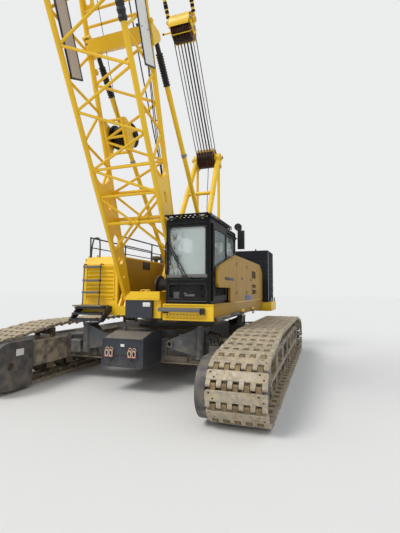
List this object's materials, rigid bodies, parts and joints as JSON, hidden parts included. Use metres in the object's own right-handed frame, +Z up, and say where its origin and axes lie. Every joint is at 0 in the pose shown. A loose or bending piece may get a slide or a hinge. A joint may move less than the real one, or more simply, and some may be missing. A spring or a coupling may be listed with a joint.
{
  "type": "crawler crane with lattice boom",
  "caption": "Tracked lattice-boom crane: slewing body with side cab, gantry, luffing ropes, backstops, hook block and swing-out jack arms.",
  "frame": {"origin": "on the ground under the slewing axis, midway between the tracks", "axes": "+X forward over the idlers and boom, +Y to the operator's left, +Z up"},
  "size_m": [16.6506, 5.76, 24.7001],
  "materials": {
    "yellow_paint": "semi-gloss, dusty",
    "slate_paint": "satin, dusty and scuffed",
    "track_steel": "worn cast steel with dried mud",
    "bare_steel": "greased",
    "sheave_iron": "dull red-brown",
    "cab_black": "satin",
    "black_rubber": "matt",
    "cab_glass": "clear, dusty at the edges",
    "seat_fabric": "woven",
    "wire_rope": "greased wire rope"
  },
  "bodies": {
    "undercarriage": {"carbody": "slate_paint", "carbody_weight_front": "slate_paint", "carbody_weight_rear": "slate_paint", "track_frame_left": "slate_paint", "track_frame_right": "slate_paint", "track_left": "track_steel", "track_right": "track_steel", "idlers": "track_steel", "sprockets": "track_steel", "lower_rollers": "track_steel", "carrier_rollers": "track_steel", "slew_bearing": "bare_steel"},
    "jack_arm_front_left": {"jack_arm_front_left": "slate_paint"},
    "jack_arm_front_right": {"jack_arm_front_right": "slate_paint"},
    "jack_arm_rear_left": {"jack_arm_rear_left": "slate_paint"},
    "jack_arm_rear_right": {"jack_arm_rear_right": "slate_paint"},
    "superstructure": {"slewing_frame": "yellow_paint", "cab_shell": "cab_black", "cab_glass": "cab_glass", "cab_guard": "cab_black", "operator_seat": "seat_fabric", "control_console": "slate_paint", "mirrors": "cab_black", "left_housing": "yellow_paint", "right_housing": "yellow_paint", "tool_box": "slate_paint", "access_ladder": "slate_paint", "handrails": "slate_paint", "front_step": "slate_paint", "counterweight": "slate_paint", "gantry_front_legs": "yellow_paint", "gantry_rear_legs": "yellow_paint", "gantry_sheaves": "sheave_iron", "main_winch": "slate_paint", "aux_winch": "slate_paint", "luffing_winch": "slate_paint"},
    "cab_door": {"cab_door": "cab_black", "cab_door_glass": "cab_glass"},
    "boom": {"boom_butt": "yellow_paint", "boom_insert_lower": "yellow_paint", "boom_insert_upper": "yellow_paint", "boom_head": "yellow_paint", "head_sheaves": "sheave_iron", "boom_winch": "cab_black", "boom_walkway": "slate_paint"},
    "luffing_line": {"rope_falls": "wire_rope"},
    "spreader": {"spreader": "yellow_paint", "spreader_sheaves": "sheave_iron", "pendants": "yellow_paint"},
    "backstop_tube_left": {"backstop_tube_left": "yellow_paint"},
    "backstop_tube_right": {"backstop_tube_right": "yellow_paint"},
    "backstop_rod_left": {"backstop_rod_left": "black_rubber"},
    "backstop_rod_right": {"backstop_rod_right": "black_rubber"},
    "hoist_line": {"hook_rope": "wire_rope"},
    "hook_block": {"hook_block": "yellow_paint"},
    "hook": {"hook": "slate_paint"}
  },
  "joints": [
    {"name": "slew", "type": "hinge", "parent": "undercarriage", "child": "superstructure", "pos_m": [0, 0, 1.3], "axis": [0, 0, 1], "continuous": true},
    {"name": "luff", "type": "hinge", "parent": "superstructure", "child": "boom", "pos_m": [1.35, 0, 1.75], "axis": [0, -1, 0], "range_deg": [-36.5, 13.5]},
    {"name": "luffing_line_swing", "type": "hinge", "parent": "superstructure", "child": "luffing_line", "pos_m": [-2.52, 0, 6.27], "axis": [0, -1, 0], "range_deg": [-36.74, 13.62]},
    {"name": "spreader_travel", "type": "slide", "parent": "luffing_line", "child": "spreader", "axis": [0.5994, 0, 0.8005], "range_m": [-1.3558, 3.664], "deforming": ["rope_falls"]},
    {"name": "backstop_swing_left", "type": "hinge", "parent": "superstructure", "child": "backstop_tube_left", "pos_m": [-1.33, 0.65, 1.98], "axis": [0, -1, 0], "range_deg": [-26.34, 9.77]},
    {"name": "backstop_stroke_left", "type": "slide", "parent": "backstop_tube_left", "child": "backstop_rod_left", "axis": [0.6484, 0, 0.7613], "range_m": [-0.4534, 1.2241]},
    {"name": "backstop_swing_right", "type": "hinge", "parent": "superstructure", "child": "backstop_tube_right", "pos_m": [-1.33, -0.65, 1.98], "axis": [0, -1, 0], "range_deg": [-26.34, 9.77]},
    {"name": "backstop_stroke_right", "type": "slide", "parent": "backstop_tube_right", "child": "backstop_rod_right", "axis": [0.6484, 0, 0.7613], "range_m": [-0.4534, 1.2241]},
    {"name": "hoist_line_swing", "type": "hinge", "parent": "boom", "child": "hoist_line", "pos_m": [11.96067, 0, 24.39738], "axis": [0, -1, 0], "range_deg": [-13.56, 36.55]},
    {"name": "hoist", "type": "slide", "parent": "hoist_line", "child": "hook_block", "axis": [0, 0, -1], "range_m": [-1.2, 9], "deforming": ["hook_rope"]},
    {"name": "hook_swivel", "type": "hinge", "parent": "hook_block", "child": "hook", "pos_m": [11.96067, 0, 21.39738], "axis": [0, 0, 1], "continuous": true},
    {"name": "cab_door_slide", "type": "slide", "parent": "superstructure", "child": "cab_door", "axis": [-1, 0, 0], "range_m": [0, 0.7]},
    {"name": "jack_arm_front_left_swing", "type": "hinge", "parent": "undercarriage", "child": "jack_arm_front_left", "pos_m": [1.91, 1.3, 0.9], "axis": [0, 0, 1], "range_deg": [0, 120]},
    {"name": "jack_arm_front_right_swing", "type": "hinge", "parent": "undercarriage", "child": "jack_arm_front_right", "pos_m": [1.91, -1.3, 0.9], "axis": [0, 0, -1], "range_deg": [0, 120]},
    {"name": "jack_arm_rear_left_swing", "type": "hinge", "parent": "undercarriage", "child": "jack_arm_rear_left", "pos_m": [-1.91, 1.3, 0.9], "axis": [0, 0, -1], "range_deg": [0, 120]},
    {"name": "jack_arm_rear_right_swing", "type": "hinge", "parent": "undercarriage", "child": "jack_arm_rear_right", "pos_m": [-1.91, -1.3, 0.9], "axis": [0, 0, 1], "range_deg": [0, 120]}
  ],
  "couplings": [
    {"joint": "luffing_line_swing", "follows": "luff", "ratio": 1.005},
    {"joint": "spreader_travel", "follows": "luff", "m_per_rad": -5.75},
    {"joint": "backstop_swing_left", "follows": "luff", "ratio": 0.72},
    {"joint": "backstop_stroke_left", "follows": "luff", "m_per_rad": -1.92},
    {"joint": "backstop_swing_right", "follows": "luff", "ratio": 0.72},
    {"joint": "backstop_stroke_right", "follows": "luff", "m_per_rad": -1.92},
    {"joint": "hoist_line_swing", "follows": "luff", "ratio": -1}
  ]
}
